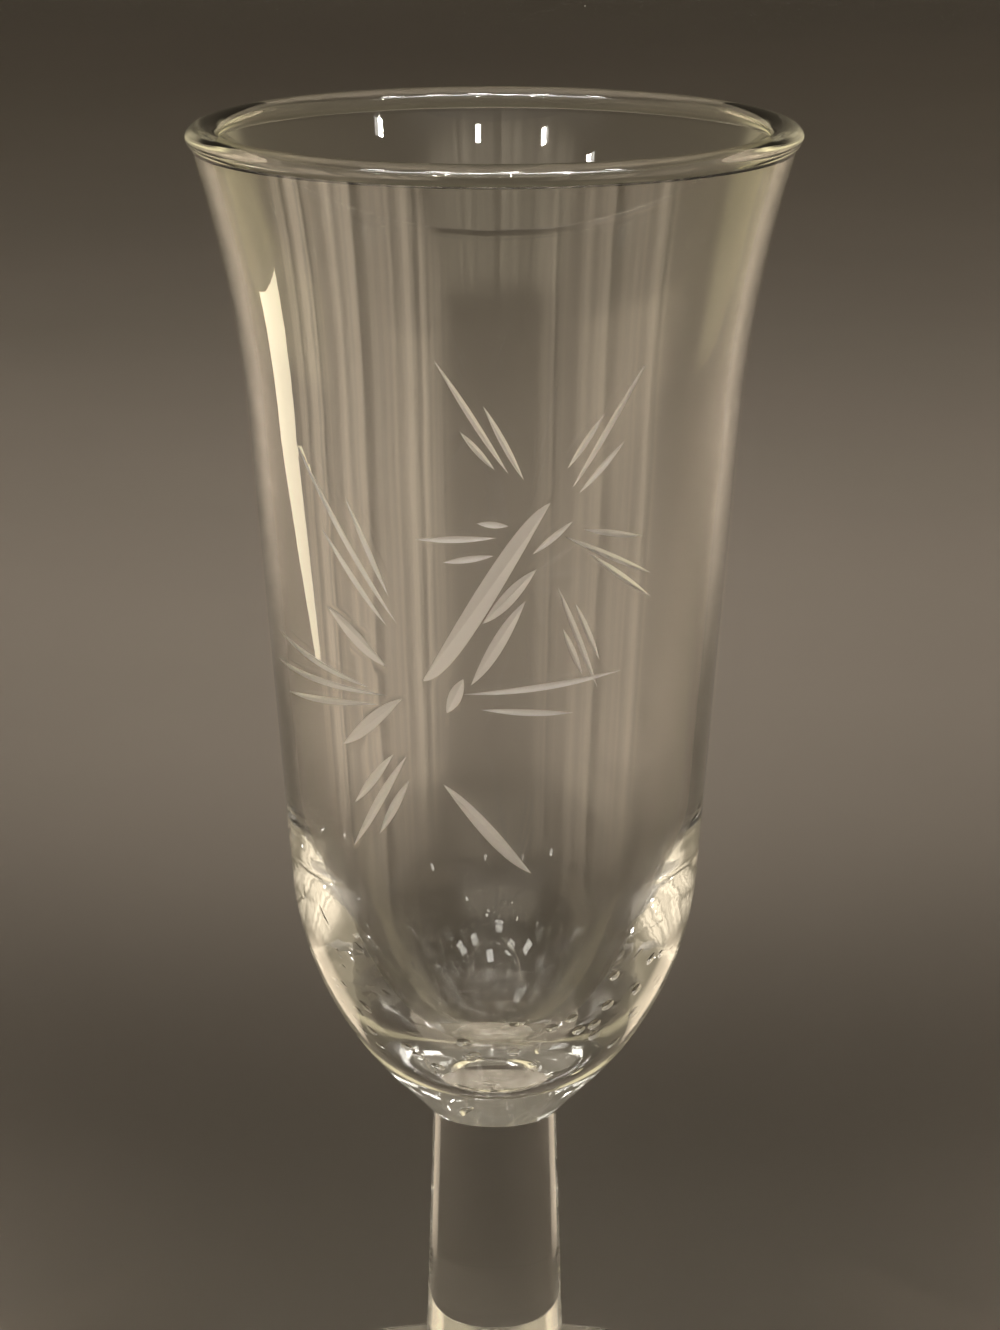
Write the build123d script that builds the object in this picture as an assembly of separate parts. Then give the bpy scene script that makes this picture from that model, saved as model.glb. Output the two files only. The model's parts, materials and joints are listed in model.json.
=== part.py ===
from build123d import *
import os
from math import atan2, copysign, cos, degrees, hypot, radians, sin, tan
from typing import NamedTuple

# Wheel-cut cordial glass in clear glass: a blown bowl with a thick base, a short solid stem and a round
# foot. The three gathers are stuck together hot, so each meets the next face to face in a flat seam.
# Millimetres, +Z up. The origin is the middle of the plane that the foot rests on, and -Y is the front.

# Foot
FOOT_DIAMETER = 45.0
FOOT_EDGE = 1.8  # thickness at the foot's edge
FOOT_EDGE_ROUND = 0.7  # fire-polished corners of that edge
ROUND_SHARE = 0.45  # most of the edge that one of its corners may take
FOOT_SLOPE = 9.0  # degrees that the top rises towards the stem
FOOT_FLARE_RADIUS = 4.5  # sweep from the top up into the stem
FOOT_COLLAR = 0.2  # straight stretch between the sweep and the stem's seam
KICK_DIAMETER = 34.0  # shallow dome under the foot
KICK_DEPTH = 0.9

# Stem
STEM_LENGTH = 19.5
STEM_TOP_DIAMETER = 9.5
STEM_BOTTOM_DIAMETER = 10.7

# Bowl, with heights taken from its seam on the stem
BOWL_HEIGHT = 76.8
BASE_SLOPE = 45.5  # degrees from upright, where the base leaves the stem
BASE_ROUND = 26.0  # radius between the base and the straight side
SIDE_TAPER = 4.7  # degrees from upright
THROAT_HEIGHT = 54.8  # where the straight side starts to flare
THROAT_DIAMETER = 36.9
WALL = 1.15  # measured level, from side to side
RIM_DIAMETER = 46.0
BEAD_WIDTH = 2.5  # fire-polished bead on the rim
BEAD_HEIGHT = 1.7
BEAD_PROUD = 0.25  # how far the bead stands out past the flared wall

# Hollow of the bowl
FLOOR_THICKNESS = 4.7  # solid glass under the middle of the hollow
HOLLOW_SHOULDER_HEIGHT = 26.0  # where the hollow leaves the straight side
HOLLOW_SIDE_REACH = 10.0  # how far the side's direction carries on into the rounded floor
HOLLOW_FLOOR_REACH = 8.0  # how far the level floor carries out from the axis

# Wheel cuts. Each is a V-shaped groove that is deepest in the middle and runs out at both tips.
NEEDLE_WIDTH = 0.5
NEEDLE_DEPTH = 0.14
BLADE_WIDTH = 0.7
BLADE_DEPTH = 0.16
LEAF_WIDTH = 1.05
LEAF_DEPTH = 0.17
BAND_WIDTH = 1.6  # the broad cut that links the two stars
BAND_DEPTH = 0.22
BLADE_CLEARANCE = 0.6  # how far the wheel's edge stands out of the glass
SWEEP_MARGIN = 1.3  # sweep of the wheel over the length of its cut
STRAIGHTEST_PATH = 400.0  # radius from which a path counts as straight


class Cut(NamedTuple):
    """Wheel cut from one tip to the other, each as millimetres to the right and up from the star's heart.

    The right is seen from outside, and is measured along the glass.
    """

    start: tuple
    end: tuple
    width: float = NEEDLE_WIDTH
    depth: float = NEEDLE_DEPTH


class Star(NamedTuple):
    """Cut star: degrees from the front to its heart, the heart's height above the seam, and its cuts."""

    turn: float
    height: float
    cuts: tuple


UPPER_STAR = Star(
    turn=13.2,
    height=49.4,
    cuts=(
        Cut((-3.7, 5.5), (-7.7, 11.9)),
        Cut((-2.2, 4.4), (-4.8, 9.3)),
        Cut((-4.2, 5.0), (-6.6, 7.7)),
        Cut((1.7, 3.8), (6.1, 11.0)),
        Cut((1.2, 5.1), (3.7, 8.7)),
        Cut((2.1, 3.1), (5.5, 6.6)),
        Cut((2.4, 0.2), (7.3, -0.8)),
        Cut((1.3, -0.4), (8.7, -3.9)),
        Cut((3.0, -1.7), (8.7, -5.7)),
        Cut((-4.1, -0.2), (-10.0, -0.5)),
        Cut((-3.1, 0.7), (-5.4, 0.9)),
        Cut((-4.1, -1.5), (-7.8, -2.1)),
        Cut((0.7, -4.2), (4.1, -12.2)),
        Cut((1.1, -7.2), (2.7, -10.8)),
        Cut((2.0, -5.3), (4.1, -9.8)),
        Cut((-1.3, -1.4), (1.6, 0.9)),
        Cut((-1.1, -2.6), (-5.0, -6.7), LEAF_WIDTH, LEAF_DEPTH),
        Cut((-1.8, -4.8), (-5.8, -11.3), LEAF_WIDTH, LEAF_DEPTH),
        Cut((0.2, 2.8), (-9.6, -11.5), BAND_WIDTH, BAND_DEPTH),
    ),
)
LOWER_STAR = Star(
    turn=-19.7,
    height=37.5,
    cuts=(
        Cut((-0.7, 4.1), (-8.5, 15.4)),
        Cut((-2.2, 4.8), (-7.5, 11.3)),
        Cut((-1.7, 6.7), (-5.0, 13.7)),
        Cut((-2.3, 1.5), (-7.3, 5.3), LEAF_WIDTH, LEAF_DEPTH),
        Cut((-4.2, -0.3), (-14.7, 2.2)),
        Cut((-2.4, -0.8), (-15.6, -0.3)),
        Cut((-3.8, -1.6), (-14.4, -2.5)),
        Cut((-1.4, -1.0), (-6.9, -5.3), LEAF_WIDTH, LEAF_DEPTH),
        Cut((-2.1, -5.2), (-5.8, -9.5), BLADE_WIDTH, BLADE_DEPTH),
        Cut((-0.8, -4.9), (-6.0, -12.8), BLADE_WIDTH, BLADE_DEPTH),
        Cut((-0.8, -7.0), (-3.5, -11.5), BLADE_WIDTH, BLADE_DEPTH),
        Cut((1.7, -6.8), (8.5, -14.1), LEAF_WIDTH, LEAF_DEPTH),
        Cut((2.3, -1.7), (3.6, 1.0), LEAF_WIDTH, LEAF_DEPTH),
        Cut((4.4, -0.2), (16.3, 1.1)),
        Cut((4.6, -1.3), (11.5, -1.8)),
    ),
)

# Heights and radii that follow from the sizes above
foot_radius = FOOT_DIAMETER / 2
stem_bottom_radius = STEM_BOTTOM_DIAMETER / 2
stem_top_radius = STEM_TOP_DIAMETER / 2
foot_top = FOOT_EDGE + (foot_radius - stem_bottom_radius) * tan(radians(FOOT_SLOPE))
flare_rise = FOOT_FLARE_RADIUS / tan(radians((90 + FOOT_SLOPE) / 2))
stem_seam = foot_top + flare_rise + FOOT_COLLAR
bowl_seam = stem_seam + STEM_LENGTH


def spun(section):
    """Turn a half section, drawn as radius and height, about the glass's axis."""
    return revolve(Plane.XZ * section, Axis.Z)


def foot():
    """Round foot with a domed underside and a sweep up to the stem."""
    edge_low = (foot_radius, 0)
    edge_high = (foot_radius, FOOT_EDGE)
    sweep_corner = (stem_bottom_radius, foot_top)
    kick_top = (0, KICK_DEPTH)
    kick_edge = (KICK_DIAMETER / 2, 0)
    seam_edge = (stem_bottom_radius, stem_seam)
    seam_middle = (0, stem_seam)
    section = make_face(
        TangentArc(kick_top, kick_edge, tangent=(1, 0))
        + Polyline(kick_edge, edge_low, edge_high, sweep_corner, seam_edge, seam_middle, kick_top)
    )
    edge_round = min(FOOT_EDGE_ROUND, FOOT_EDGE * ROUND_SHARE)
    rounds = ((sweep_corner, FOOT_FLARE_RADIUS), (edge_low, edge_round), (edge_high, edge_round))
    for corner, radius in rounds:
        section = fillet(section.vertices().sort_by_distance(corner)[0], radius)
    return spun(section)


def stem():
    """Short solid stem, a little wider at the foot."""
    bottom_edge = (stem_bottom_radius, stem_seam)
    top_edge = (stem_top_radius, bowl_seam)
    return spun(Polygon((0, stem_seam), bottom_edge, top_edge, (0, bowl_seam), align=None))


def side_point(height):
    """Point of the bowl's straight side, as radius and height, at a height above the seam."""
    radius = THROAT_DIAMETER / 2 - (THROAT_HEIGHT - height) * tan(radians(SIDE_TAPER))
    return Vector(radius, bowl_seam + height)


def rising(slope):
    """Direction that climbs at an angle from upright, as radius and height."""
    return Vector(sin(radians(slope)), cos(radians(slope)))


def blown_bowl():
    """Bowl before cutting: rounded thick base, straight side, flared mouth and a beaded rim."""
    side = rising(SIDE_TAPER)
    base = rising(BASE_SLOPE)
    base_middle = (0, bowl_seam)
    base_edge = (stem_top_radius, bowl_seam)
    closing = tan(radians(BASE_SLOPE)) - tan(radians(SIDE_TAPER))
    corner = side_point((side_point(0).X - stem_top_radius) / closing)
    round_reach = BASE_ROUND * tan(radians((BASE_SLOPE - SIDE_TAPER) / 2))
    round_low = corner - base * round_reach
    round_high = corner + side * round_reach

    wall = Vector(WALL, 0)
    throat = side_point(THROAT_HEIGHT)
    throat_inside = throat - wall
    bead_height = bowl_seam + BOWL_HEIGHT - BEAD_HEIGHT / 2
    bead_middle = Vector((RIM_DIAMETER - BEAD_WIDTH) / 2, bead_height)
    lip_outside = Vector(RIM_DIAMETER / 2 - BEAD_PROUD, bead_height)
    lip_inside = lip_outside - wall

    hollow_shoulder = side_point(HOLLOW_SHOULDER_HEIGHT) - wall
    floor_height = bowl_seam + FLOOR_THICKNESS
    floor_middle = (0, floor_height)
    hollow_floor = Bezier(
        hollow_shoulder,
        hollow_shoulder - side * HOLLOW_SIDE_REACH,
        (HOLLOW_FLOOR_REACH, floor_height),
        floor_middle,
    )
    outline = (
        Polyline(base_middle, base_edge, round_low)
        + TangentArc(round_high, round_low, tangent=-side)
        + Line(round_high, throat)
        + TangentArc(throat, lip_outside, tangent=side)
        + Line(lip_outside, lip_inside)
        + TangentArc(throat_inside, lip_inside, tangent=side)
        + Line(throat_inside, hollow_shoulder)
        + hollow_floor
        + Line(floor_middle, base_middle)
    )
    bead = Pos(*bead_middle) * Ellipse(BEAD_WIDTH / 2, BEAD_HEIGHT / 2)
    return spun(make_face(outline) + bead)


def groove(outside, star, cut):
    """Glass that the cutting wheel takes out of the bowl's outside along one cut of a star.

    The bowl is rocked against the wheel, so the bottom of the cut bends like the side of the bowl does in
    that direction, less the bend that brings it out of the glass at both tips.
    """
    run, rise = (end - start for start, end in zip(cut.start, cut.end))
    across, up = ((start + end) / 2 for start, end in zip(cut.start, cut.end))
    length = hypot(run, rise)
    direction = atan2(rise, run)
    radius = side_point(star.height).X
    turn = radians(star.turn) + across / radius
    outward = Vector(sin(turn), -cos(turn), 0)
    sight = Axis(outward * RIM_DIAMETER + Vector(0, 0, bowl_seam + star.height + up), -outward)
    touch, normal = outside.find_intersection_points(sight)[0]
    level = Vector(0, 0, 1).cross(outward)
    along = level * cos(direction) + normal.cross(level) * sin(direction)

    bend = cos(direction) ** 2 / radius - 8 * cut.depth / length**2
    path_radius = copysign(min(abs(1 / bend), STRAIGHTEST_PATH), bend)
    bottom = touch - normal * cut.depth
    spindle = Axis(bottom - normal * path_radius, along.cross(normal))
    blade_height = cut.depth + BLADE_CLEARANCE
    blade_half = cut.width / 2 * blade_height / cut.depth
    blade = Polygon((0, 0), (blade_half, blade_height), (-blade_half, blade_height), align=None)
    blade = Plane(bottom, spindle.direction, -along) * blade
    sweep = degrees(SWEEP_MARGIN * length / abs(path_radius))
    return revolve(blade.rotate(spindle, -sweep / 2), spindle, sweep)


def bowl():
    """Bowl with two cut stars and the band that links them, cut one groove after another."""
    glass = blown_bowl()
    outside = glass.shells()[0]
    for star in (UPPER_STAR, LOWER_STAR):
        for cut in star.cuts:
            glass -= groove(outside, star, cut)
    return glass


os.makedirs("parts", exist_ok=True)
for name, piece in {"foot": foot(), "stem": stem(), "bowl": bowl()}.items():
    export_step(piece, f"parts/{name}.step")
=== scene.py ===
"""Cordial glass: a wheel-cut bowl, a short stem and a round foot in clear glass, in a plain studio."""

import json
import logging
from dataclasses import dataclass, field, replace
from enum import Enum
from functools import partial
from math import atan2, ceil, copysign, cos, pi, radians, sin, tan

import bmesh
import bpy
from bmesh.types import BMVert, BMesh
from bpy.types import Collection, Material, Node, NodeSocket, NodeTree, Object
from mathutils import Matrix, Vector
from mathutils.bvhtree import BVHTree
from mathutils.geometry import interpolate_bezier

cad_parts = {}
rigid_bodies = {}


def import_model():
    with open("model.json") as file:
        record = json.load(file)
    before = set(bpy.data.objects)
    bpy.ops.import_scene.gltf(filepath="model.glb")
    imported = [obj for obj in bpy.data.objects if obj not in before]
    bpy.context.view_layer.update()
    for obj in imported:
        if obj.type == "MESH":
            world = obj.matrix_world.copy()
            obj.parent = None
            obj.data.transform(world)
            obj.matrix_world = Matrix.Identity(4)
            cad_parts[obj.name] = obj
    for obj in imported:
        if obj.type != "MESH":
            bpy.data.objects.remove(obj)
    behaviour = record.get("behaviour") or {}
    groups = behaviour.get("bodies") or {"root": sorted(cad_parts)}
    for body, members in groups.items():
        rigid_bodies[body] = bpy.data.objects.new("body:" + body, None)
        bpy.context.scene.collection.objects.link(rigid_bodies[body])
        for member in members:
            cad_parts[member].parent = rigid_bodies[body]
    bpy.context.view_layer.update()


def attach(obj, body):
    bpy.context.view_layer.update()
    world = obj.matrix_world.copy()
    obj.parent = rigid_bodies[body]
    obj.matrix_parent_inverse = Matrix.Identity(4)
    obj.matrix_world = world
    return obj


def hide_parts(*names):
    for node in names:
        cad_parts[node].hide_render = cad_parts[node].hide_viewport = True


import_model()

LOG = logging.getLogger("cordial_glass")
MM = 0.001
UP = Vector((0.0, 0.0, 1.0))
Colour = tuple[float, float, float]
Point = tuple[float, float, float]
Pair = tuple[float, float]


class Skin(Enum):
    """Finish of a face, as the number of its material slot."""

    CLEAR = 0
    SEAM = 1
    GROUND = 2
    INSIDE = 3


class LampUse(Enum):
    """What a lamp is for."""

    ALL = "lights and shows"
    MATT = "lights matt surfaces only"
    SHINE = "shows in polished glass only"


# Helpers


def placed(name: str, shape: BMesh, collection: Collection | None = None) -> Object:
    """Make an object of a shape.

    Args:
        name: Name of the object and of its mesh.
        shape: Mesh of the object, which is freed.
        collection: Collection to put it in, or None for the scene's own.

    Returns:
        The object.
    """
    mesh = bpy.data.meshes.new(name)
    shape.to_mesh(mesh)
    shape.free()
    made = bpy.data.objects.new(name, mesh)
    (collection or bpy.context.scene.collection).objects.link(made)
    return made


def bare_material(name: str) -> Material:
    """Start a material with nothing but its output.

    Args:
        name: Name of the material.

    Returns:
        The material.
    """
    material = bpy.data.materials.new(name)
    material.use_nodes = True
    nodes = material.node_tree.nodes
    nodes.remove(nodes["Principled BSDF"])
    return material


def link(tree: NodeTree, source: NodeSocket, target: NodeSocket) -> None:
    """Join two sockets."""
    tree.links.new(source, target)


def new_group(name: str, outputs: tuple[str, ...]) -> NodeTree:
    """Start a shader node group that reads a place on the glass and puts out values.

    Args:
        name: Name of the group.
        outputs: Named number outputs.

    Returns:
        The group with its input and output nodes, named "in" and "out".
    """
    group = bpy.data.node_groups.new(name, "ShaderNodeTree")
    group.interface.new_socket("Place", in_out="INPUT", socket_type="NodeSocketVector")
    for label in outputs:
        group.interface.new_socket(label, in_out="OUTPUT", socket_type="NodeSocketFloat")
    group.nodes.new("NodeGroupInput").name = "in"
    group.nodes.new("NodeGroupOutput").name = "out"
    return group


def spread(
    tree: NodeTree,
    value: NodeSocket,
    old: Pair,
    new: Pair = (0.0, 1.0),
) -> NodeSocket:
    """Move a value from one range to another and keep it inside.

    Args:
        tree: Node tree to add to.
        value: Socket to move.
        old: Range that the value comes from.
        new: Range that it goes to.

    Returns:
        Socket with the moved value.
    """
    node = tree.nodes.new("ShaderNodeMapRange")
    node.inputs["From Min"].default_value, node.inputs["From Max"].default_value = old
    node.inputs["To Min"].default_value, node.inputs["To Max"].default_value = new
    link(tree, value, node.inputs["Value"])
    return node.outputs["Result"]


def worked(tree: NodeTree, operation: str, *values: NodeSocket) -> NodeSocket:
    """Work out one sum.

    Args:
        tree: Node tree to add to.
        operation: Name of the sum.
        values: Sockets that go into it.

    Returns:
        Socket with the result, kept between 0 and 1 for an addition.
    """
    node = tree.nodes.new("ShaderNodeMath")
    node.operation = operation
    node.use_clamp = operation == "ADD"
    for value, socket in zip(values, node.inputs):
        link(tree, value, socket)
    return node.outputs[0]


def mix(tree: NodeTree, share: NodeSocket, first: Colour | NodeSocket, second: Colour) -> NodeSocket:
    """Mix two colours.

    Args:
        tree: Node tree to add to.
        share: Socket with the share of the second colour.
        first: First colour, or a socket with it.
        second: Second colour.

    Returns:
        Socket with the mixed colour.
    """
    node = tree.nodes.new("ShaderNodeMixRGB")
    link(tree, share, node.inputs["Fac"])
    if isinstance(first, NodeSocket):
        link(tree, first, node.inputs["Color1"])
    else:
        node.inputs["Color1"].default_value = (*first, 1.0)
    node.inputs["Color2"].default_value = (*second, 1.0)
    return node.outputs["Color"]


# Finishes


@dataclass(frozen=True)
class BlownSurface:
    """Marks of a blown and handled surface: upright cords, wiping smears and drops dried on the floor."""

    name: str = "blown_surface"
    cord_scale: float = 210.0
    cord_stretch: float = 0.07
    smear_scale: float = 60.0
    smear_stretch: float = 0.3
    smear_range: Pair = (0.5, 0.75)
    detail: float = 3.0
    drop_scale: float = 620.0
    drop_size: float = 0.32
    bare_share: float = 0.42
    drops_full: float = 36.0 * MM
    drops_end: float = 45.0 * MM

    def group(self) -> NodeTree:
        """Make the node group once.

        Returns:
            Group with the outputs Cords, Smear and Drops, each from 0 to 1.
        """
        made = bpy.data.node_groups.get(self.name)
        if made:
            return made
        group = new_group(self.name, ("Cords", "Smear", "Drops"))
        place = group.nodes["in"].outputs["Place"]
        cords = self._noise(group, place, self.cord_scale, self.cord_stretch)
        link(group, cords, group.nodes["out"].inputs["Cords"])
        smear = self._noise(group, place, self.smear_scale, self.smear_stretch)
        link(group, spread(group, smear, self.smear_range), group.nodes["out"].inputs["Smear"])

        cells = group.nodes.new("ShaderNodeTexVoronoi")
        cells.inputs["Scale"].default_value = self.drop_scale
        link(group, place, cells.inputs["Vector"])
        off = spread(group, cells.outputs["Distance"], (0.0, self.drop_size))
        dome = spread(group, worked(group, "MULTIPLY", off, off), (1.0, 0.0))
        height = group.nodes.new("ShaderNodeSeparateXYZ")
        link(group, place, height.inputs["Vector"])
        fewer = spread(group, height.outputs["Z"], (self.drops_full, self.drops_end), (self.bare_share, 1.0))
        chosen = worked(group, "GREATER_THAN", cells.outputs["Color"], fewer)
        link(group, worked(group, "MULTIPLY", dome, chosen), group.nodes["out"].inputs["Drops"])
        return group

    def _noise(self, group: NodeTree, place: NodeSocket, scale: float, stretch: float) -> NodeSocket:
        """Noise that runs up the glass.

        Args:
            group: Group to add to.
            place: Socket with the place on the glass.
            scale: Scale of the noise across the glass.
            stretch: Share of that scale along the axis.

        Returns:
            Socket with the noise.
        """
        mapping = group.nodes.new("ShaderNodeMapping")
        mapping.inputs["Scale"].default_value = (1.0, 1.0, stretch)
        link(group, place, mapping.inputs["Vector"])
        noise = group.nodes.new("ShaderNodeTexNoise")
        noise.inputs["Scale"].default_value = scale
        noise.inputs["Detail"].default_value = self.detail
        link(group, mapping.outputs["Vector"], noise.inputs["Vector"])
        return noise.outputs["Fac"]


@dataclass(frozen=True)
class GlassFinish:
    """Glass with the blown surface's marks, greener where light runs along the wall up to the rim."""

    name: str
    colour: Colour
    edge_colour: Colour
    rim_colour: Colour
    roughness: float
    smear_roughness: float
    transmission: float = 1.0
    ior: float = 1.52
    edge_blend: float = 0.35
    relief: float = 0.012 * MM
    drop_relief: float = 0.0
    rim_starts: float = 86.0 * MM
    rim_full: float = 104.0 * MM
    surface: BlownSurface = field(default_factory=BlownSurface)

    def material(self) -> Material:
        """Make the material once.

        Returns:
            Material of this finish.
        """
        made = bpy.data.materials.get(self.name)
        if made:
            return made
        material = bpy.data.materials.new(self.name)
        material.use_nodes = True
        tree = material.node_tree
        shader = tree.nodes["Principled BSDF"]
        shader.inputs["IOR"].default_value = self.ior
        shader.inputs["Transmission Weight"].default_value = self.transmission

        places = tree.nodes.new("ShaderNodeTexCoord")
        marks = tree.nodes.new("ShaderNodeGroup")
        marks.node_tree = self.surface.group()
        link(tree, places.outputs["Object"], marks.inputs["Place"])
        self._tint(tree, places.outputs["Object"], shader)
        rough = spread(tree, marks.outputs["Smear"], (0.0, 1.0), (self.roughness, self.smear_roughness))
        link(tree, rough, shader.inputs["Roughness"])
        normal = self._relief(tree, marks.outputs["Cords"], self.relief, None)
        if self.drop_relief:
            normal = self._relief(tree, marks.outputs["Drops"], self.drop_relief, normal)
        link(tree, normal, shader.inputs["Normal"])
        return material

    def _tint(self, tree: NodeTree, place: NodeSocket, shader: Node) -> None:
        """Colour the glass by how it faces and by its height.

        Args:
            tree: The material's node tree.
            place: Socket with the place on the glass.
            shader: The material's shader.
        """
        facing = tree.nodes.new("ShaderNodeLayerWeight")
        facing.inputs["Blend"].default_value = self.edge_blend
        tint = mix(tree, facing.outputs["Facing"], self.colour, self.edge_colour)
        height = tree.nodes.new("ShaderNodeSeparateXYZ")
        link(tree, place, height.inputs["Vector"])
        near_rim = spread(tree, height.outputs["Z"], (self.rim_starts, self.rim_full))
        near_rim = worked(tree, "MULTIPLY", near_rim, facing.outputs["Facing"])
        link(tree, mix(tree, near_rim, tint, self.rim_colour), shader.inputs["Base Color"])

    def _relief(
        self, tree: NodeTree, height: NodeSocket, rise: float, under: NodeSocket | None
    ) -> NodeSocket:
        """Raise the surface.

        Args:
            tree: The material's node tree.
            height: Socket with the height, from 0 to 1.
            rise: Height in metres that 1 stands for.
            under: Socket with the normal to build on, or None.

        Returns:
            Socket with the new normal.
        """
        bump = tree.nodes.new("ShaderNodeBump")
        bump.inputs["Strength"].default_value = 1.0
        bump.inputs["Distance"].default_value = rise
        link(tree, height, bump.inputs["Height"])
        if under:
            link(tree, under, bump.inputs["Normal"])
        return bump.outputs["Normal"]


@dataclass(frozen=True)
class SeamFinish:
    """Hot-stuck seam inside the glass, which light passes straight through."""

    name: str = "fused_seam"

    def material(self) -> Material:
        """Make the material once.

        Returns:
            Material that lets all light through unbent.
        """
        made = bpy.data.materials.get(self.name)
        if made:
            return made
        material = bare_material(self.name)
        tree = material.node_tree
        clear = tree.nodes.new("ShaderNodeBsdfTransparent")
        link(tree, clear.outputs["BSDF"], tree.nodes["Material Output"].inputs["Surface"])
        return material


CLEAR_GLASS = GlassFinish(
    name="fire_polished_glass",
    colour=(0.985, 0.98, 0.965),
    edge_colour=(0.94, 0.94, 0.87),
    rim_colour=(0.92, 0.93, 0.68),
    roughness=0.0,
    smear_roughness=0.03,
)
INSIDE_GLASS = replace(CLEAR_GLASS, name="used_inside", smear_roughness=0.05, drop_relief=0.09 * MM)
GROUND_CUT = GlassFinish(
    name="ground_cut",
    colour=(0.93, 0.91, 0.87),
    edge_colour=(0.93, 0.91, 0.87),
    rim_colour=(0.93, 0.91, 0.87),
    roughness=0.32,
    smear_roughness=0.42,
    transmission=0.6,
)
FUSED_SEAM = SeamFinish()


# Turned glass


class HalfSection:
    """Half section of a turned piece, drawn as radius and height from the axis out and back to the axis."""

    SECTORS = 16

    def __init__(self, start: Vector) -> None:
        """Start on the axis.

        Args:
            start: Radius and height of the first point.
        """
        self.mesh = bmesh.new()
        self.tip = self.mesh.verts.new((start.x, 0.0, start.y))

    @property
    def place(self) -> Vector:
        """Radius and height of the point drawn last."""
        return Vector((self.tip.co.x, self.tip.co.z))

    def run(self, end: Vector, spacing: float = 0.0) -> None:
        """Draw a straight run.

        Args:
            end: Radius and height of its end.
            spacing: Distance between the points on the run, or 0 for none.
        """
        way = end - self.place
        steps = max(1, ceil(way.length / spacing)) if spacing else 1
        step = way / steps
        spun = bmesh.ops.spin(
            self.mesh, geom=[self.tip], axis=UP, dvec=(step.x, 0.0, step.y), angle=0.0, steps=steps
        )
        self.tip = self._last(spun)

    def bend(self, end: Vector, tangent: Vector, spacing: float) -> None:
        """Draw an arc that leaves the last point in a direction.

        Args:
            end: Radius and height of its end.
            tangent: Direction in which it leaves the last point.
            spacing: Distance between the points on the arc.
        """
        chord = end - self.place
        across = Vector((-tangent.y, tangent.x)).normalized()
        centre = self.place + across * (chord.length_squared / (2 * chord.dot(across)))
        self.turn(end, centre, spacing)

    def turn(self, end: Vector, centre: Vector, spacing: float) -> list[BMVert]:
        """Draw an arc round a centre, the shorter way.

        Args:
            end: Radius and height of its end.
            centre: Radius and height of its centre.
            spacing: Distance between the points on the arc.

        Returns:
            The points of the arc, without its first.
        """
        old, new = self.place - centre, end - centre
        angle = atan2(old.y * new.x - old.x * new.y, old.dot(new))
        return self.swing(centre, angle, ceil(abs(angle) * old.length / spacing))

    def swing(self, centre: Vector, angle: float, steps: int) -> list[BMVert]:
        """Swing the last point round a centre.

        Args:
            centre: Radius and height of the centre.
            angle: Angle of the swing, from upright towards the outside.
            steps: Number of steps.

        Returns:
            The points of the arc, without its first.
        """
        before = set(self.mesh.verts)
        hub = (centre.x, 0.0, centre.y)
        spun = bmesh.ops.spin(
            self.mesh, geom=[self.tip], cent=hub, axis=(0.0, 1.0, 0.0), angle=angle, steps=steps
        )
        self.tip = self._last(spun)
        return [vert for vert in self.mesh.verts if vert not in before]

    @staticmethod
    def _last(spun: dict[str, list]) -> BMVert:
        """Point that a spin of one point ends in."""
        return next(part for part in spun["geom_last"] if isinstance(part, BMVert))

    def spun(self, steps: int, merge: float = 0.0005 * MM) -> BMesh:
        """Turn the section about the axis.

        Args:
            steps: Number of steps round the axis.
            merge: Distance within which points become one.

        Returns:
            Closed mesh with its faces outwards.
        """
        section = self.mesh
        bmesh.ops.remove_doubles(section, verts=section.verts[:], dist=merge)
        sector = 2 * pi / self.SECTORS
        for angle, count, copies in ((sector, steps // self.SECTORS, False), (2 * pi, self.SECTORS, True)):
            bmesh.ops.spin(
                section,
                geom=section.verts[:] + section.edges[:] + section.faces[:],
                axis=UP,
                angle=angle,
                steps=count,
                use_duplicate=copies,
            )
        bmesh.ops.remove_doubles(section, verts=section.verts[:], dist=merge)
        bmesh.ops.recalc_face_normals(section, faces=section.faces[:])
        return section


@dataclass
class GlassPiece:
    """Turned piece of the glass that stands for a CAD node."""

    node: str
    steps: int = 256
    sharp_angle: float = radians(19.0)

    def section(self) -> HalfSection:
        """Draw the piece's half section."""
        raise NotImplementedError

    def seams(self) -> tuple[float, ...]:
        """Heights of the flat seams where the piece is stuck to its neighbours."""
        raise NotImplementedError

    def shaped(self) -> BMesh:
        """Turn the half section."""
        return self.section().spun(self.steps)

    def build(self) -> Object:
        """Build the piece, dress it and put it in its node's place.

        Returns:
            The piece's object.
        """
        shape = self.shaped()
        self.mark_seams(shape)
        piece = placed(f"{self.node}_glass", shape)
        self.dress(piece)
        self.finish(piece)
        piece.data.shade_smooth()
        piece.data.set_sharp_from_angle(angle=self.sharp_angle)
        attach(piece, "root")
        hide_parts(self.node)
        return piece

    def mark_seams(self, shape: BMesh, near: float = 0.001 * MM) -> None:
        """Give the faces that lie in a seam their own finish.

        Args:
            shape: Mesh of the piece.
            near: How near to the seam's height a face counts as in it.
        """
        for face in shape.faces:
            if any(all(abs(vert.co.z - seam) < near for vert in face.verts) for seam in self.seams()):
                face.material_index = Skin.SEAM.value

    def dress(self, piece: Object) -> None:
        """Give the piece its finishes, in the order of their slots."""
        for finish in (CLEAR_GLASS, FUSED_SEAM, GROUND_CUT, INSIDE_GLASS):
            piece.data.materials.append(finish.material())

    def finish(self, piece: Object) -> None:
        """Work on the dressed piece; most need nothing more."""


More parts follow.
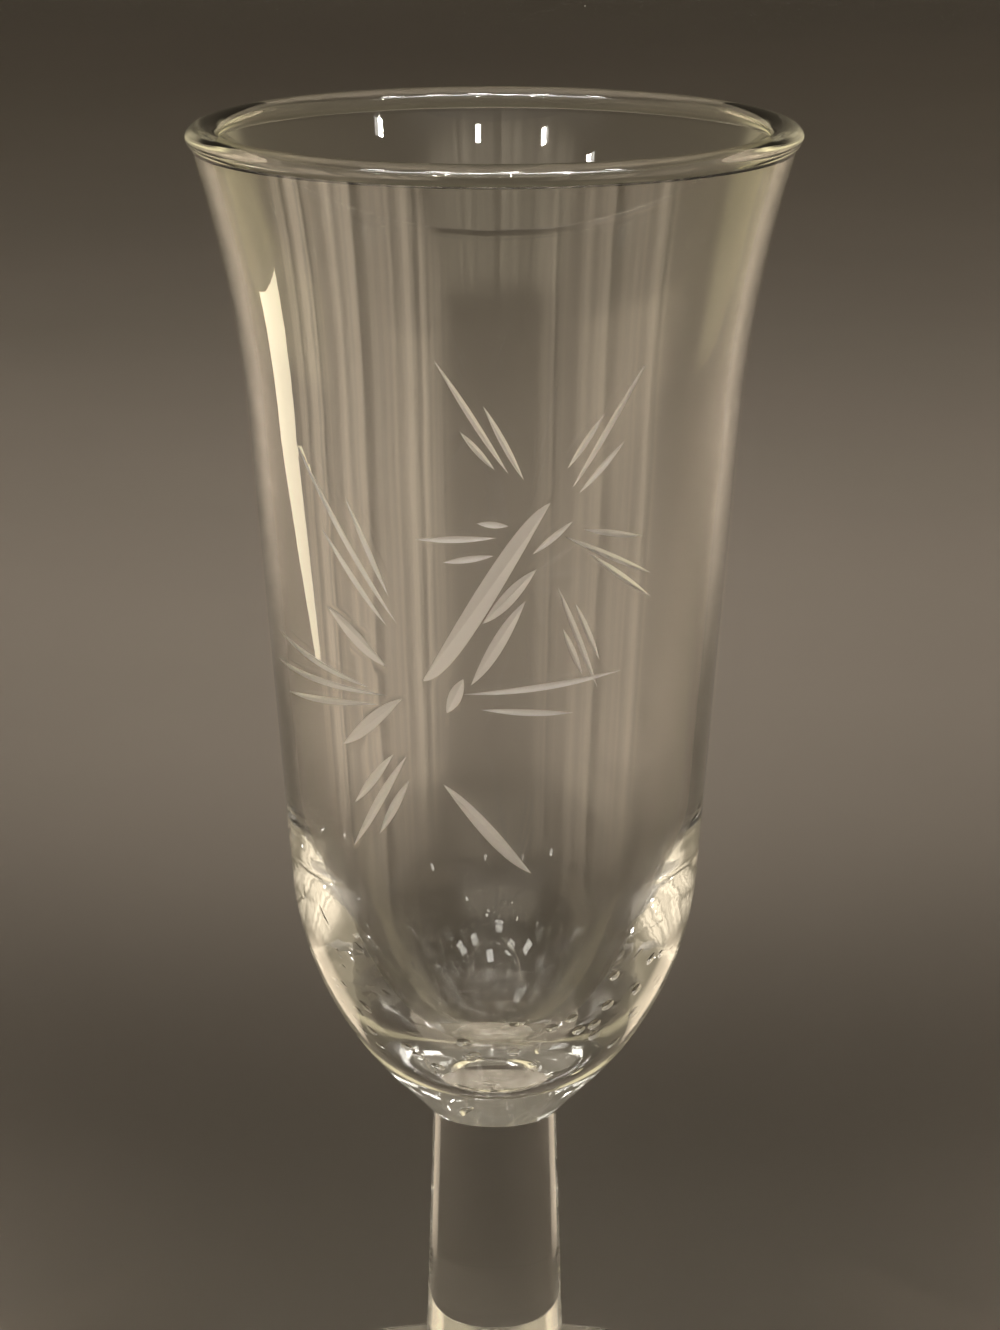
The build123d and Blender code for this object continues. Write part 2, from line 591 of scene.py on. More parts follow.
@dataclass
class Foot(GlassPiece):
    """Round foot with a domed underside and a sweep up to the stem."""

    node: str = "foot"
    diameter: float = 45.0 * MM
    edge: float = 1.8 * MM
    edge_round: float = 0.7 * MM
    edge_parts: int = 10
    slope: float = 9.0
    flare_radius: float = 4.5 * MM
    flare_parts: int = 16
    collar: float = 0.2 * MM
    kick_diameter: float = 34.0 * MM
    kick_depth: float = 0.9 * MM
    stem_radius: float = 5.35 * MM
    spacing: float = 0.6 * MM

    @property
    def top(self) -> float:
        """Height at which the sloping top would meet the stem."""
        return self.edge + (self.diameter / 2 - self.stem_radius) * tan(radians(self.slope))

    @property
    def flare_rise(self) -> float:
        """Length that the sweep takes from the top and from the stem."""
        return self.flare_radius / tan(radians((90 + self.slope) / 2))

    @property
    def seam(self) -> float:
        """Height of the seam on the stem."""
        return self.top + self.flare_rise + self.collar

    def seams(self) -> tuple[float, ...]:
        """Seam under the stem."""
        return (self.seam,)

    def section(self) -> HalfSection:
        """Draw the dome, the rounded edge, the sloping top and the sweep.

        Returns:
            Half section of the foot.
        """
        radius, small = self.diameter / 2, self.edge_round
        slope = Vector((-cos(radians(self.slope)), sin(radians(self.slope))))
        edge_corner = Vector((radius, self.edge))
        sweep_corner = Vector((self.stem_radius, self.top))
        edge_reach = small * tan(radians((90 - self.slope) / 2))

        half = HalfSection(Vector((0.0, self.kick_depth)))
        half.bend(Vector((self.kick_diameter / 2, 0.0)), Vector((1.0, 0.0)), self.spacing)
        half.run(Vector((radius - small, 0.0)), self.spacing)
        half.bend(Vector((radius, small)), Vector((1.0, 0.0)), small / self.edge_parts)
        half.run(edge_corner - Vector((0.0, edge_reach)))
        half.bend(edge_corner + slope * edge_reach, Vector((0.0, 1.0)), small / self.edge_parts)
        half.run(sweep_corner - slope * self.flare_rise, self.spacing)
        half.bend(sweep_corner + Vector((0.0, self.flare_rise)), slope, self.flare_radius / self.flare_parts)
        half.run(Vector((self.stem_radius, self.seam)))
        half.run(Vector((0.0, self.seam)))
        return half


@dataclass
class Stem(GlassPiece):
    """Short solid stem, a little wider at the foot."""

    node: str = "stem"
    length: float = 19.5 * MM
    top_radius: float = 4.75 * MM
    bottom_radius: float = 5.35 * MM
    low_seam: float = 0.0
    spacing: float = 1.0 * MM

    @property
    def high_seam(self) -> float:
        """Height of the seam under the bowl."""
        return self.low_seam + self.length

    def seams(self) -> tuple[float, ...]:
        """Seams on the foot and under the bowl."""
        return self.low_seam, self.high_seam

    def section(self) -> HalfSection:
        """Draw the tapering stem.

        Returns:
            Half section of the stem.
        """
        half = HalfSection(Vector((0.0, self.low_seam)))
        half.run(Vector((self.bottom_radius, self.low_seam)))
        half.run(Vector((self.top_radius, self.high_seam)), self.spacing)
        half.run(Vector((0.0, self.high_seam)))
        return half


class Wheel(Enum):
    """Cutting wheel, as the width and depth that it cuts, in millimetres."""

    NEEDLE = (0.5, 0.14)
    BLADE = (0.7, 0.16)
    LEAF = (1.05, 0.17)
    BAND = (1.6, 0.22)

    @property
    def width(self) -> float:
        """Width of the cut at its middle."""
        return self.value[0] * MM

    @property
    def depth(self) -> float:
        """Depth of the cut at its middle."""
        return self.value[1] * MM


@dataclass(frozen=True)
class Cut:
    """Wheel cut between two tips, each in millimetres to the right and up from its star's heart."""

    start: Pair
    end: Pair
    wheel: Wheel = Wheel.NEEDLE

    @property
    def way(self) -> Vector:
        """Way from the first tip to the second."""
        return (Vector(self.end) - Vector(self.start)) * MM

    @property
    def middle(self) -> Vector:
        """Middle of the cut, from the star's heart."""
        return (Vector(self.end) + Vector(self.start)) * MM / 2


@dataclass(frozen=True)
class Star:
    """Cut star: degrees from the front to its heart, the heart's height above the seam, and its cuts."""

    turn: float
    height: float
    cuts: tuple[Cut, ...]


UPPER_STAR = Star(
    turn=13.2,
    height=49.4 * MM,
    cuts=(
        Cut((-3.7, 5.5), (-7.7, 11.9)),
        Cut((-2.2, 4.4), (-4.8, 9.3)),
        Cut((-4.2, 5.0), (-6.6, 7.7)),
        Cut((1.7, 3.8), (6.1, 11.0)),
        Cut((1.2, 5.1), (3.7, 8.7)),
        Cut((2.1, 3.1), (5.5, 6.6)),
        Cut((2.4, 0.2), (7.3, -0.8)),
        Cut((1.3, -0.4), (8.7, -3.9)),
        Cut((3.0, -1.7), (8.7, -5.7)),
        Cut((-4.1, -0.2), (-10.0, -0.5)),
        Cut((-3.1, 0.7), (-5.4, 0.9)),
        Cut((-4.1, -1.5), (-7.8, -2.1)),
        Cut((0.7, -4.2), (4.1, -12.2)),
        Cut((1.1, -7.2), (2.7, -10.8)),
        Cut((2.0, -5.3), (4.1, -9.8)),
        Cut((-1.3, -1.4), (1.6, 0.9)),
        Cut((-1.1, -2.6), (-5.0, -6.7), Wheel.LEAF),
        Cut((-1.8, -4.8), (-5.8, -11.3), Wheel.LEAF),
        Cut((0.2, 2.8), (-9.6, -11.5), Wheel.BAND),
    ),
)
LOWER_STAR = Star(
    turn=-19.7,
    height=37.5 * MM,
    cuts=(
        Cut((-0.7, 4.1), (-8.5, 15.4)),
        Cut((-2.2, 4.8), (-7.5, 11.3)),
        Cut((-1.7, 6.7), (-5.0, 13.7)),
        Cut((-2.3, 1.5), (-7.3, 5.3), Wheel.LEAF),
        Cut((-4.2, -0.3), (-14.7, 2.2)),
        Cut((-2.4, -0.8), (-15.6, -0.3)),
        Cut((-3.8, -1.6), (-14.4, -2.5)),
        Cut((-1.4, -1.0), (-6.9, -5.3), Wheel.LEAF),
        Cut((-2.1, -5.2), (-5.8, -9.5), Wheel.BLADE),
        Cut((-0.8, -4.9), (-6.0, -12.8), Wheel.BLADE),
        Cut((-0.8, -7.0), (-3.5, -11.5), Wheel.BLADE),
        Cut((1.7, -6.8), (8.5, -14.1), Wheel.LEAF),
        Cut((2.3, -1.7), (3.6, 1.0), Wheel.LEAF),
        Cut((4.4, -0.2), (16.3, 1.1)),
        Cut((4.6, -1.3), (11.5, -1.8)),
    ),
)


@dataclass
class Bowl(GlassPiece):
    """Blown bowl with a thick base, a flared and beaded mouth, and two cut stars linked by a band."""

    node: str = "bowl"
    height: float = 76.8 * MM
    stem_radius: float = 4.75 * MM
    seam: float = 0.0
    base_slope: float = 45.5
    base_round: float = 26.0 * MM
    side_taper: float = 4.7
    throat_height: float = 54.8 * MM
    throat_radius: float = 18.45 * MM
    wall: float = 1.15 * MM
    rim_radius: float = 23.0 * MM
    bead_width: float = 2.5 * MM
    bead_height: float = 1.7 * MM
    bead_meets_outside: float = -51.0
    bead_meets_inside: float = 250.0
    bead_steps: int = 48
    floor_thickness: float = 4.7 * MM
    shoulder_height: float = 26.0 * MM
    side_reach: float = 10.0 * MM
    floor_reach: float = 8.0 * MM
    floor_steps: int = 64
    spacing: float = 0.6 * MM
    side_spacing: float = 1.2 * MM
    blade_clearance: float = 0.6 * MM
    sweep_margin: float = 1.3
    sweep_steps: int = 24
    straightest_path: float = 400.0 * MM

    def seams(self) -> tuple[float, ...]:
        """Seam on the stem."""
        return (self.seam,)

    def side_point(self, height: float) -> Vector:
        """Radius and height of the straight side's outside at a height above the seam."""
        radius = self.throat_radius - (self.throat_height - height) * tan(radians(self.side_taper))
        return Vector((radius, self.seam + height))

    def bead_point(self, angle: float) -> Vector:
        """Radius and height of the rim bead's outside at an angle from level outwards."""
        level, upright = self.bead_width / 2, self.bead_height / 2
        middle = Vector((self.rim_radius - level, self.seam + self.height - upright))
        return middle + Vector((level * cos(radians(angle)), upright * sin(radians(angle))))

    def section(self) -> HalfSection:
        """Draw the base, the side, the flare and the bead, and the hollow down to its floor.

        Returns:
            Half section of the bowl before cutting.
        """
        side = Vector((sin(radians(self.side_taper)), cos(radians(self.side_taper))))
        base = Vector((sin(radians(self.base_slope)), cos(radians(self.base_slope))))
        closing = tan(radians(self.base_slope)) - tan(radians(self.side_taper))
        corner = self.side_point((self.side_point(0.0).x - self.stem_radius) / closing)
        reach = self.base_round * tan(radians((self.base_slope - self.side_taper) / 2))
        throat = self.side_point(self.throat_height)
        wall = Vector((self.wall, 0.0))

        half = HalfSection(Vector((0.0, self.seam)))
        half.run(Vector((self.stem_radius, self.seam)))
        half.run(corner - base * reach, self.spacing)
        half.bend(corner + side * reach, base, self.spacing)
        half.run(throat, self.side_spacing)
        half.bend(self.bead_point(self.bead_meets_outside), side, self.spacing)
        self._draw_bead(half)
        self._draw_flare_inside(half, throat - wall, side)
        shoulder = self.side_point(self.shoulder_height) - wall
        half.run(shoulder, self.side_spacing)
        floor = Vector((0.0, self.seam + self.floor_thickness))
        level = Vector((self.floor_reach, floor.y))
        dip = interpolate_bezier(shoulder, shoulder - side * self.side_reach, level, floor, self.floor_steps)
        for point in dip[1:]:
            half.run(point.to_2d())
        return half

    def _draw_bead(self, half: HalfSection) -> None:
        """Draw the bead as part of a circle that is then pressed flatter.

        Args:
            half: Half section, drawn as far as the bead.
        """
        middle = (self.bead_point(0.0) + self.bead_point(180.0)) / 2
        start = radians(self.bead_meets_outside)
        turn = radians(self.bead_meets_outside - self.bead_meets_inside)
        half.run(middle + Vector((cos(start), sin(start))) * self.bead_width / 2)
        first = half.tip
        verts = [first, *half.swing(middle, turn, self.bead_steps)]
        press = Matrix.Translation((-middle.x, 0.0, -middle.y))
        flatter = (1.0, 1.0, self.bead_height / self.bead_width)
        bmesh.ops.scale(half.mesh, vec=flatter, space=press, verts=verts)

    def _draw_flare_inside(self, half: HalfSection, throat: Vector, side: Vector) -> None:
        """Draw the inside of the flare from the bead down to the throat.

        Args:
            half: Half section, drawn as far as the end of the bead.
            throat: Radius and height of the throat's inside.
            side: Direction of the straight side, upwards.
        """
        chord = half.place - throat
        across = Vector((side.y, -side.x))
        centre = throat + across * (chord.length_squared / (2 * chord.dot(across)))
        half.turn(throat, centre, self.spacing)

    def shaped(self) -> BMesh:
        """Turn the half section and give the hollow its own finish.

        Returns:
            Mesh of the bowl before cutting.
        """
        shape = super().shaped()
        for face in shape.faces:
            out = face.calc_center_median() * Vector((1.0, 1.0, 0.0))
            if face.normal.dot(out) < 0.0:
                face.material_index = Skin.INSIDE.value
        return shape

    def finish(self, piece: Object) -> None:
        """Cut the stars into the bowl's outside.

        Args:
            piece: The bowl's object.
        """
        shape = bmesh.new()
        shape.from_mesh(piece.data)
        outside = BVHTree.FromBMesh(shape)
        shape.free()
        blades = bpy.data.collections.new("blades")
        for star in (UPPER_STAR, LOWER_STAR):
            for cut in star.cuts:
                self.dress(placed("blade", self._blade(outside, star, cut), blades))

        cutting = piece.modifiers.new("cutting", "BOOLEAN")
        cutting.operation = "DIFFERENCE"
        cutting.solver = "MANIFOLD"
        cutting.material_mode = "INDEX"
        cutting.operand_type = "COLLECTION"
        cutting.collection = blades
        plain = piece.data
        posed = piece.evaluated_get(bpy.context.evaluated_depsgraph_get())
        piece.data = bpy.data.meshes.new_from_object(posed)
        piece.modifiers.clear()
        for mesh in [plain, *(blade.data for blade in blades.objects)]:
            bpy.data.meshes.remove(mesh)
        bpy.data.collections.remove(blades)

    def _blade(self, outside: BVHTree, star: Star, cut: Cut) -> BMesh:
        """Sweep the wheel's V-shaped edge along one cut.

        The bowl is rocked against the wheel, so the bottom of the cut bends like the side of the bowl does in
        that direction, less the bend that brings it out of the glass at both tips.

        Args:
            outside: The bowl's surface.
            star: Star that the cut belongs to.
            cut: The cut.

        Returns:
            Closed mesh of the glass that the wheel takes away.
        """
        radius = self.side_point(star.height).x
        run, rise = cut.way.normalized()
        turn = radians(star.turn) + cut.middle.x / radius
        outward = Vector((sin(turn), -cos(turn), 0.0))
        sight = outward * self.rim_radius * 2 + UP * (self.seam + star.height + cut.middle.y)
        touch, normal, _, _ = outside.ray_cast(sight, -outward)
        level = UP.cross(outward)
        along = level * run + normal.cross(level) * rise

        width, depth, length = cut.wheel.width, cut.wheel.depth, cut.way.length
        bend = run**2 / radius - 8 * depth / length**2
        path_radius = copysign(min(abs(1 / bend), self.straightest_path), bend)
        bottom = touch - normal * depth
        hub = bottom - normal * path_radius
        spindle = along.cross(normal)
        high = depth + self.blade_clearance
        half = width / 2 * high / depth
        corners = (bottom, bottom + normal * high + spindle * half, bottom + normal * high - spindle * half)
        sweep = self.sweep_margin * length / abs(path_radius)
        turned = Matrix.Translation(hub) @ Matrix.Rotation(-sweep / 2, 4, spindle) @ Matrix.Translation(-hub)
        wheel = bmesh.new()
        edge = wheel.faces.new([wheel.verts.new(turned @ point) for point in corners])
        bmesh.ops.spin(wheel, geom=[edge], cent=hub, axis=spindle, angle=sweep, steps=self.sweep_steps)
        bmesh.ops.recalc_face_normals(wheel, faces=wheel.faces[:])
        for face in wheel.faces:
            face.material_index = Skin.GROUND.value
        return wheel


# Studio


def seen(tree: NodeTree) -> NodeSocket:
    """Tell the light that the camera or the glass sees from the light that falls on things.

    Args:
        tree: Node tree of a backdrop or of the room.

    Returns:
        Socket that is 1 where the backdrop is looked at, and 0 where it lights something.
    """
    path = tree.nodes.new("ShaderNodeLightPath")
    looked = worked(tree, "ADD", path.outputs["Is Camera Ray"], path.outputs["Is Glossy Ray"])
    return worked(tree, "ADD", looked, path.outputs["Is Transmission Ray"])


@dataclass
class Cove:
    """Pale studio floor that sweeps up into a plain wall all round, which glows where it is looked at."""

    radius: float = 2.2
    sweep: float = 0.6
    wall: float = 0.9
    steps: int = 96
    spacing: float = 0.2
    sweep_spacing: float = 0.05
    colour: Colour = (0.56, 0.51, 0.45)
    mottle: Pair = (0.92, 1.08)
    mottle_scale: float = 9.0
    mottle_detail: float = 5.0
    roughness: float = 0.85
    shine: float = 0.1
    glow: float = 0.26
    glow_colour: Colour = (1.0, 0.86, 0.6)
    glow_starts: float = 0.35
    glow_full: float = 1.2
    glow_sides: Pair = (0.9, 0.5)
    glow_behind: float = 0.07
    behind_starts: float = 0.9
    under_glow: float = 0.06
    under_radius: float = 24.0 * MM

    def build(self) -> Object:
        """Build the cove.

        Returns:
            The cove's object.
        """
        half = HalfSection(Vector((0.0, 0.0)))
        half.run(Vector((self.radius, 0.0)), self.spacing)
        half.bend(Vector((self.radius + self.sweep, self.sweep)), Vector((1.0, 0.0)), self.sweep_spacing)
        half.run(Vector((self.radius + self.sweep, self.sweep + self.wall)), self.spacing)
        shape = half.spun(self.steps)
        bmesh.ops.reverse_faces(shape, faces=shape.faces[:])
        cove = placed("cove", shape)
        cove.data.shade_smooth()
        cove.data.materials.append(self._paint())
        return cove

    def _paint(self) -> Material:
        """Make the cove's matt paint.

        Returns:
            Material of the cove.
        """
        material = bpy.data.materials.new("cove_paint")
        material.use_nodes = True
        tree = material.node_tree
        shader = tree.nodes["Principled BSDF"]
        shader.inputs["Roughness"].default_value = self.roughness
        shader.inputs["Specular IOR Level"].default_value = self.shine
        places = tree.nodes.new("ShaderNodeTexCoord")
        noise = tree.nodes.new("ShaderNodeTexNoise")
        noise.inputs["Scale"].default_value = self.mottle_scale
        noise.inputs["Detail"].default_value = self.mottle_detail
        link(tree, places.outputs["Object"], noise.inputs["Vector"])
        pale, paler = (tuple(part * gain for part in self.colour) for gain in self.mottle)
        link(tree, mix(tree, noise.outputs["Fac"], pale, paler), shader.inputs["Base Color"])
        flat = tree.nodes.new("ShaderNodeVectorMath")
        flat.operation = "MULTIPLY"
        flat.inputs[1].default_value = (1.0, 1.0, 0.0)
        link(tree, places.outputs["Object"], flat.inputs[0])
        far = tree.nodes.new("ShaderNodeVectorMath")
        far.operation = "LENGTH"
        link(tree, flat.outputs["Vector"], far.inputs[0])
        depth = tree.nodes.new("ShaderNodeSeparateXYZ")
        link(tree, places.outputs["Object"], depth.inputs["Vector"])
        behind = worked(tree, "DIVIDE", depth.outputs["Y"], far.outputs["Value"])
        sides = spread(tree, far.outputs["Value"], (self.glow_starts, self.glow_full), (0.0, self.glow))
        sides = worked(tree, "MULTIPLY", sides, spread(tree, behind, self.glow_sides))
        back = spread(tree, far.outputs["Value"], (self.behind_starts, self.radius), (0.0, self.glow_behind))
        around = worked(tree, "MAXIMUM", sides, back)
        under = spread(tree, far.outputs["Value"], (self.under_radius, 0.0), (0.0, self.under_glow))
        glow = worked(tree, "ADD", around, under)
        shader.inputs["Emission Color"].default_value = (*self.glow_colour, 1.0)
        link(tree, worked(tree, "MULTIPLY", glow, seen(tree)), shader.inputs["Emission Strength"])
        return material


WHITE = (1.0, 0.97, 0.92)
PALE = (1.0, 0.9, 0.79)
CREAM = (1.0, 0.86, 0.66)
STRAW = (1.0, 0.87, 0.55)
WARM = (1.0, 0.82, 0.6)


@dataclass(frozen=True)
class Lamp:
    """Soft lamp that faces the glass or a given point, with the radiance that shows along its axis."""

    name: str
    place: Point
    size: Pair
    radiance: float
    colour: Colour = (1.0, 0.88, 0.75)
    aim: Point = (0.0, 0.0, 0.06)
    spread: float = 180.0
    use: LampUse = LampUse.ALL

    def build(self) -> Object:
        """Build the lamp, hidden from the camera itself.

        Returns:
            The lamp's object.
        """
        data = bpy.data.lights.new(self.name, "AREA")
        data.shape = "RECTANGLE"
        data.size, data.size_y = self.size
        data.energy = self.radiance * pi * data.size * data.size_y * self._let_through()
        data.color = self.colour
        data.spread = radians(self.spread)
        lamp = bpy.data.objects.new(self.name, data)
        lamp.location = self.place
        way = Vector(self.aim) - Vector(self.place)
        lamp.rotation_euler = way.to_track_quat("-Z", "Y").to_euler()
        lamp.visible_camera = False
        lamp.visible_glossy = lamp.visible_transmission = self.use is not LampUse.MATT
        lamp.visible_diffuse = self.use is not LampUse.SHINE
        bpy.context.scene.collection.objects.link(lamp)
        return lamp

    def _let_through(self) -> float:
        """Share of the light that the lamp's grid lets through."""
        half = radians(self.spread) / 2
        return 1 - half / tan(half)


def hung(name: str, shape: BMesh, cloth: Material, reflected_only: bool) -> Object:
    """Hang a glowing cloth that throws no shadow.

    Args:
        name: Name of the cloth's object.
        shape: Mesh of the cloth, which is freed.
        cloth: Its material.
        reflected_only: Whether it shows as a reflection in polished glass and nowhere else.

    Returns:
        The cloth's object.
    """
    made = placed(name, shape)
    made.data.materials.append(cloth)
    made.visible_shadow = False
    made.visible_camera = made.visible_diffuse = made.visible_transmission = not reflected_only
    return made


@dataclass(frozen=True)
class SoftBox:
    """Soft diffuser that faces the glass, turned to the right of the camera and lifted, in degrees."""

    name: str
    turn: float
    lift: float
    distance: float
    size: Pair
    radiance: float
    colour: Colour
    light_share: float = 0.1
    soft_edge: float = 0.5
    streaks: float = 0.0
    streak_scale: float = 14.0
    middle: float = 0.06
    reflected_only: bool = False
    streak_detail: float = 2.0
    streak_range: Pair = (0.35, 0.65)

    def build(self) -> Object:
        """Build the diffuser, which throws no shadow.

        Returns:
            The diffuser's object.
        """
        shape = bmesh.new()
        bmesh.ops.create_grid(shape, x_segments=1, y_segments=1, size=0.5)
        bmesh.ops.scale(shape, vec=(*self.size, 1.0), verts=shape.verts[:])
        box = hung(self.name, shape, self._cloth(), self.reflected_only)
        turn, lift = radians(self.turn), radians(self.lift)
        way = Vector((sin(turn) * cos(lift), -cos(turn) * cos(lift), sin(lift)))
        box.location = UP * self.middle + way * self.distance
        box.rotation_euler = (-way).to_track_quat("Z", "Y").to_euler()
        return box

    def _cloth(self) -> Material:
        """Make the sheer glowing cloth, which fades towards its edges.

        Returns:
            Material of the diffuser.
        """
        material = bare_material(f"{self.name}_cloth")
        tree = material.node_tree
        places = tree.nodes.new("ShaderNodeTexCoord")
        sides = tree.nodes.new("ShaderNodeSeparateXYZ")
        link(tree, places.outputs["Object"], sides.inputs["Vector"])
        level = spread(tree, seen(tree), (0.0, 1.0), (self.radiance * self.light_share, self.radiance))
        back = tree.nodes.new("ShaderNodeNewGeometry").outputs["Backfacing"]
        level = worked(tree, "MULTIPLY", level, spread(tree, back, (1.0, 0.0)))
        for side, length in zip("XY", self.size):
            off = worked(tree, "ABSOLUTE", sides.outputs[side])
            edge = spread(tree, off, (length / 2, length / 2 * (1 - self.soft_edge)))
            edge.node.interpolation_type = "SMOOTHSTEP"
            level = worked(tree, "MULTIPLY", level, edge)
        if self.streaks:
            noise = tree.nodes.new("ShaderNodeTexNoise")
            noise.noise_dimensions = "1D"
            noise.inputs["Scale"].default_value = self.streak_scale
            noise.inputs["Detail"].default_value = self.streak_detail
            link(tree, sides.outputs["X"], noise.inputs["W"])
            deep = (1 - self.streaks, 1 + self.streaks)
            folds = spread(tree, noise.outputs["Fac"], self.streak_range, deep)
            level = worked(tree, "MULTIPLY", level, folds)
        glow = tree.nodes.new("ShaderNodeEmission")
        glow.inputs["Color"].default_value = (*self.colour, 1.0)
        link(tree, level, glow.inputs["Strength"])
        sheer = tree.nodes.new("ShaderNodeAddShader")
        link(tree, glow.outputs["Emission"], sheer.inputs[0])
        link(tree, tree.nodes.new("ShaderNodeBsdfTransparent").outputs["BSDF"], sheer.inputs[1])
        link(tree, sheer.outputs["Shader"], tree.nodes["Material Output"].inputs["Surface"])
        return material


@dataclass(frozen=True)
class StripCard:
    """Small bright card close to the glass at the left, wide at the top, which only polished glass shows."""

    name: str = "strip_card"
    away: float = 70.0 * MM
    bottom: float = 46.0 * MM
    top: float = 70.5 * MM
    bottom_reach: Pair = (-0.5 * MM, 4.5 * MM)
    top_reach: Pair = (7.0 * MM, 27.0 * MM)
    radiance: float = 8.0
    colour: Colour = (1.0, 0.87, 0.62)

    def build(self) -> Object:
        """Build the card with its face towards the glass.

        Returns:
            The card's object.
        """
        shape = bmesh.new()
        ends = ((self.bottom, self.bottom_reach), (self.top, self.top_reach[::-1]))
        shape.faces.new([shape.verts.new((-self.away, reach, z)) for z, reaches in ends for reach in reaches])
        card = hung(self.name, shape, self._cloth(), reflected_only=True)
        return card

    def _cloth(self) -> Material:
        """Make the card's glow, on the face towards the glass.

        Returns:
            Material of the card.
        """
        material = bare_material(f"{self.name}_cloth")
        tree = material.node_tree
        glow = tree.nodes.new("ShaderNodeEmission")
        glow.inputs["Color"].default_value = (*self.colour, 1.0)
        back = tree.nodes.new("ShaderNodeNewGeometry").outputs["Backfacing"]
        link(tree, spread(tree, back, (1.0, 0.0), (0.0, self.radiance)), glow.inputs["Strength"])
        link(tree, glow.outputs["Emission"], tree.nodes["Material Output"].inputs["Surface"])
        return material


POOL = (0.12, 0.12)
FrontSpark = partial(Lamp, size=(0.03, 0.035), radiance=300.0, colour=WHITE, use=LampUse.SHINE)
TopSpark = partial(Lamp, size=(0.1, 0.12), radiance=40.0, colour=WHITE, use=LampUse.SHINE)
CloseCard = partial(SoftBox, lift=0.0, colour=WARM, light_share=0.0, reflected_only=True)
Streaks = partial(CloseCard, distance=0.11, soft_edge=0.35, streaks=1.0, streak_scale=80.0)
StemCard = partial(CloseCard, distance=0.05, size=(0.03, 0.03), radiance=2.0, middle=0.012)
FRONT_SPARKS = (
    (0.11, -0.89, 0.53),
    (-0.34, -0.84, 0.52),
    (-0.64, -0.68, 0.45),
    (0.71, -0.57, 0.50),
    (-0.25, -0.70, 0.80),
    (0.09, -0.67, 0.86),
    (0.39, -0.68, 0.76),
)
TOP_SPARKS = (
    (-0.47, -0.22, 0.9),
    (-0.22, -0.32, 0.96),
    (-0.07, -0.51, 0.9),
    (0.07, -0.28, 1.0),
    (0.28, -0.36, 0.93),
    (0.47, -0.21, 0.9),
)


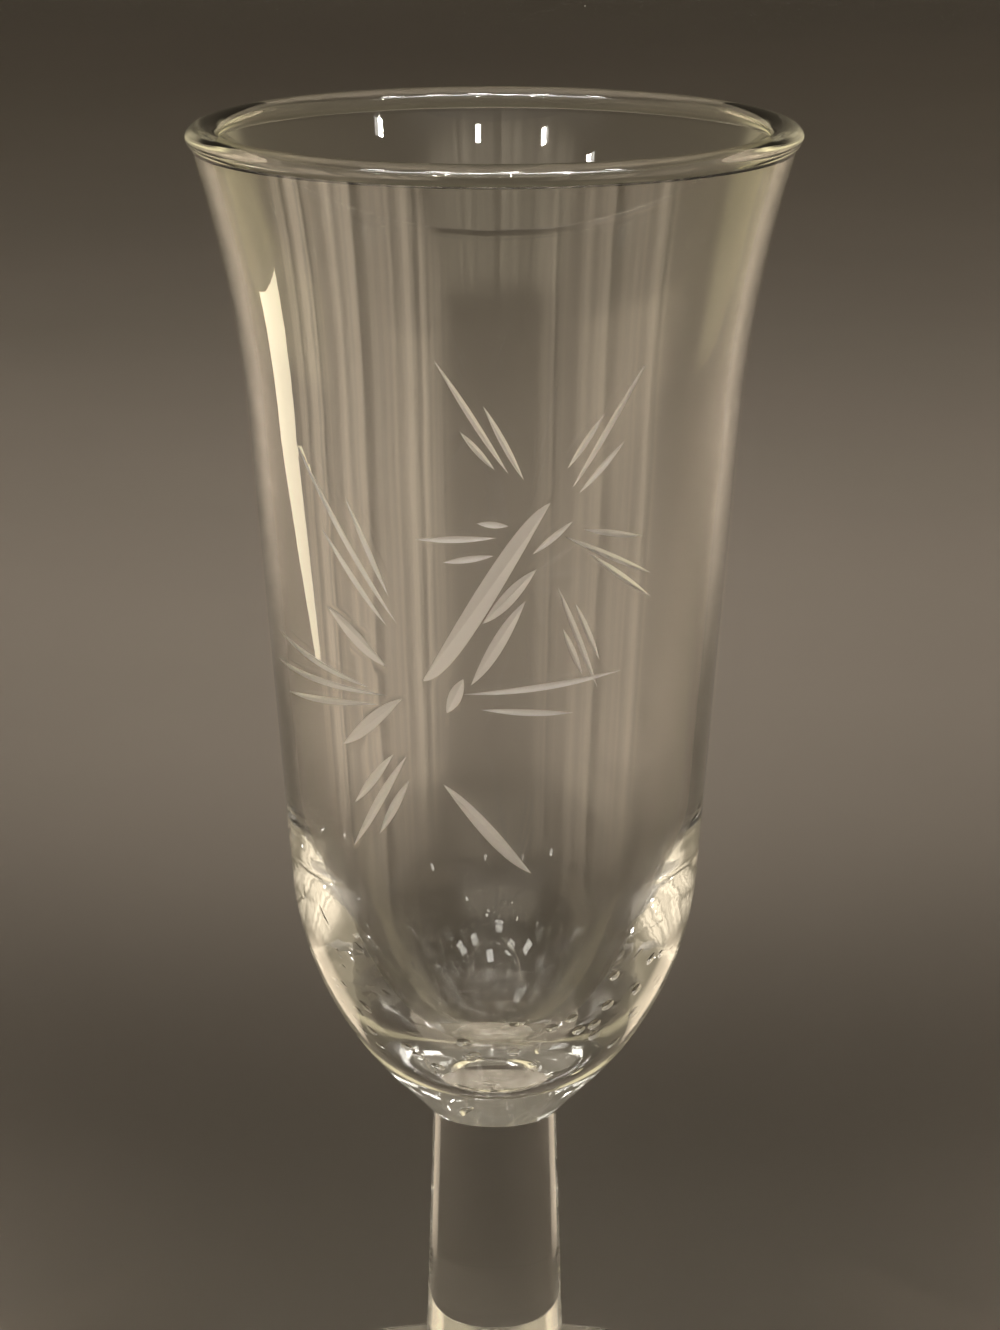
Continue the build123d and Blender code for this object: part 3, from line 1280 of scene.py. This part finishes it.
@dataclass
class Studio:
    """Cove, lamps over its floor, diffusers round the glass and a dim room."""

    cove: Cove = field(default_factory=Cove)
    strip: StripCard = field(default_factory=StripCard)
    room_colour: Colour = (1.0, 0.88, 0.68)
    room_seen: float = 0.2
    room_behind: float = 0.13
    behind_range: Pair = (0.9, 0.985)
    room_light: float = 0.05
    lamps: tuple[Lamp, ...] = (
        Lamp("back_pool", (0.0, 0.056, 0.3), POOL, 18.0, PALE, aim=(0.0, 0.446, 0.0), spread=84.4),
        Lamp("left_pool", (-0.02, -0.05, 0.32), POOL, 80.0, aim=(-0.42, -0.07, 0.0), spread=96.0),
        Lamp("left_back_pool", (-0.1, 0.09, 0.3), POOL, 65.0, aim=(-0.46, 0.4, 0.0), spread=80.0),
        Lamp("right_pool", (0.02, -0.05, 0.32), POOL, 55.0, aim=(0.42, -0.07, 0.0), spread=96.0),
        Lamp("right_back_pool", (0.1, 0.09, 0.3), POOL, 65.0, aim=(0.46, 0.4, 0.0), spread=80.0),
        Lamp(
            name="cut_light",
            place=(-0.12, -0.6, 0.05),
            size=(0.08, 0.08),
            radiance=200.0,
            aim=(0.0, 0.0, 0.075),
            spread=14.0,
            use=LampUse.MATT,
        ),
        *(FrontSpark(f"front_spark_{number}", place) for number, place in enumerate(FRONT_SPARKS, 1)),
        *(TopSpark(f"top_spark_{number}", place) for number, place in enumerate(TOP_SPARKS, 1)),
    )
    boxes: tuple[SoftBox, ...] = (
        SoftBox("top_front", -5.0, 45.0, 0.9, (1.7, 0.55), 0.95, PALE, soft_edge=0.7, streaks=0.25),
        SoftBox("front", -3.0, 20.0, 1.0, (1.5, 0.44), 0.85, CREAM, soft_edge=0.5, streaks=0.5),
        SoftBox("left", -75.0, 2.0, 0.8, (1.1, 0.17), 0.7, WARM),
        SoftBox("right_front", 43.0, 1.0, 0.8, (0.45, 0.14), 0.6, WARM),
        SoftBox("right", 115.0, 2.0, 0.8, (0.8, 0.17), 0.55, STRAW),
        SoftBox("back_left", -146.0, 7.0, 0.9, (0.8, 0.5), 0.85, STRAW),
        SoftBox("back_right", 148.0, 7.0, 0.9, (0.8, 0.5), 0.85, STRAW),
        Streaks("left_streaks", -58.0, size=(0.2, 0.12), radiance=1.9),
        Streaks("right_streaks", 48.0, size=(0.14, 0.12), radiance=1.1),
        SoftBox("rim_light", 0.0, 58.0, 0.9, (1.8, 0.22), 16.0, WHITE, 0.0, reflected_only=True),
        StemCard("stem_left", -130.0),
        StemCard("stem_right", 130.0),
    )

    def build(self) -> None:
        """Build the studio round the glass."""
        self.cove.build()
        for light in (*self.lamps, *self.boxes, self.strip):
            light.build()
        self._light_room()

    def _light_room(self) -> None:
        """Set the dim room round the cove, darker behind the glass than in front of it."""
        world = bpy.data.worlds.new("room")
        bpy.context.scene.world = world
        world.use_nodes = True
        tree = world.node_tree
        way = tree.nodes.new("ShaderNodeSeparateXYZ")
        link(tree, tree.nodes.new("ShaderNodeTexCoord").outputs["Generated"], way.inputs["Vector"])
        shown = spread(tree, way.outputs["Y"], self.behind_range, (self.room_seen, self.room_behind))
        shown = worked(tree, "MULTIPLY", shown, seen(tree))
        unseen = spread(tree, seen(tree), (1.0, 0.0), (0.0, self.room_light))
        background = tree.nodes["Background"]
        background.inputs["Color"].default_value = (*self.room_colour, 1.0)
        link(tree, worked(tree, "ADD", shown, unseen), background.inputs["Strength"])


@dataclass
class PhotoCamera:
    """Camera at the photograph's angle."""

    place: Point = (0.0, -369.7 * MM, 154.01 * MM)
    pitch: float = 13.76
    yaw: float = 0.065
    lens: float = 135.34
    sensor: float = 36.0
    clip: Pair = (0.01, 20.0)

    def build(self) -> Object:
        """Build the camera and look through it.

        Returns:
            The camera's object.
        """
        data = bpy.data.cameras.new("camera")
        data.lens = self.lens
        data.sensor_width = self.sensor
        data.clip_start, data.clip_end = self.clip
        camera = bpy.data.objects.new("camera", data)
        camera.location = self.place
        camera.rotation_euler = (radians(90 - self.pitch), 0.0, radians(-self.yaw))
        bpy.context.scene.collection.objects.link(camera)
        bpy.context.scene.camera = camera
        return camera


def main() -> None:
    """Build the glass from the foot up, then the studio and the camera."""
    logging.basicConfig(level=logging.INFO, format="%(name)s: %(message)s")
    scene = bpy.context.scene
    scene.view_settings.view_transform = "Standard"
    scene.cycles.max_bounces = 48
    scene.cycles.glossy_bounces = 32
    scene.cycles.transmission_bounces = 48
    scene.cycles.transparent_max_bounces = 24

    foot = Foot()
    stem = Stem(low_seam=foot.seam)
    bowl = Bowl(seam=stem.high_seam)
    for part in (foot, stem, bowl):
        piece = part.build()
        LOG.info("%s: %d faces", piece.name, len(piece.data.polygons))
    Studio().build()
    PhotoCamera().build()


if __name__ == "__main__":
    main()
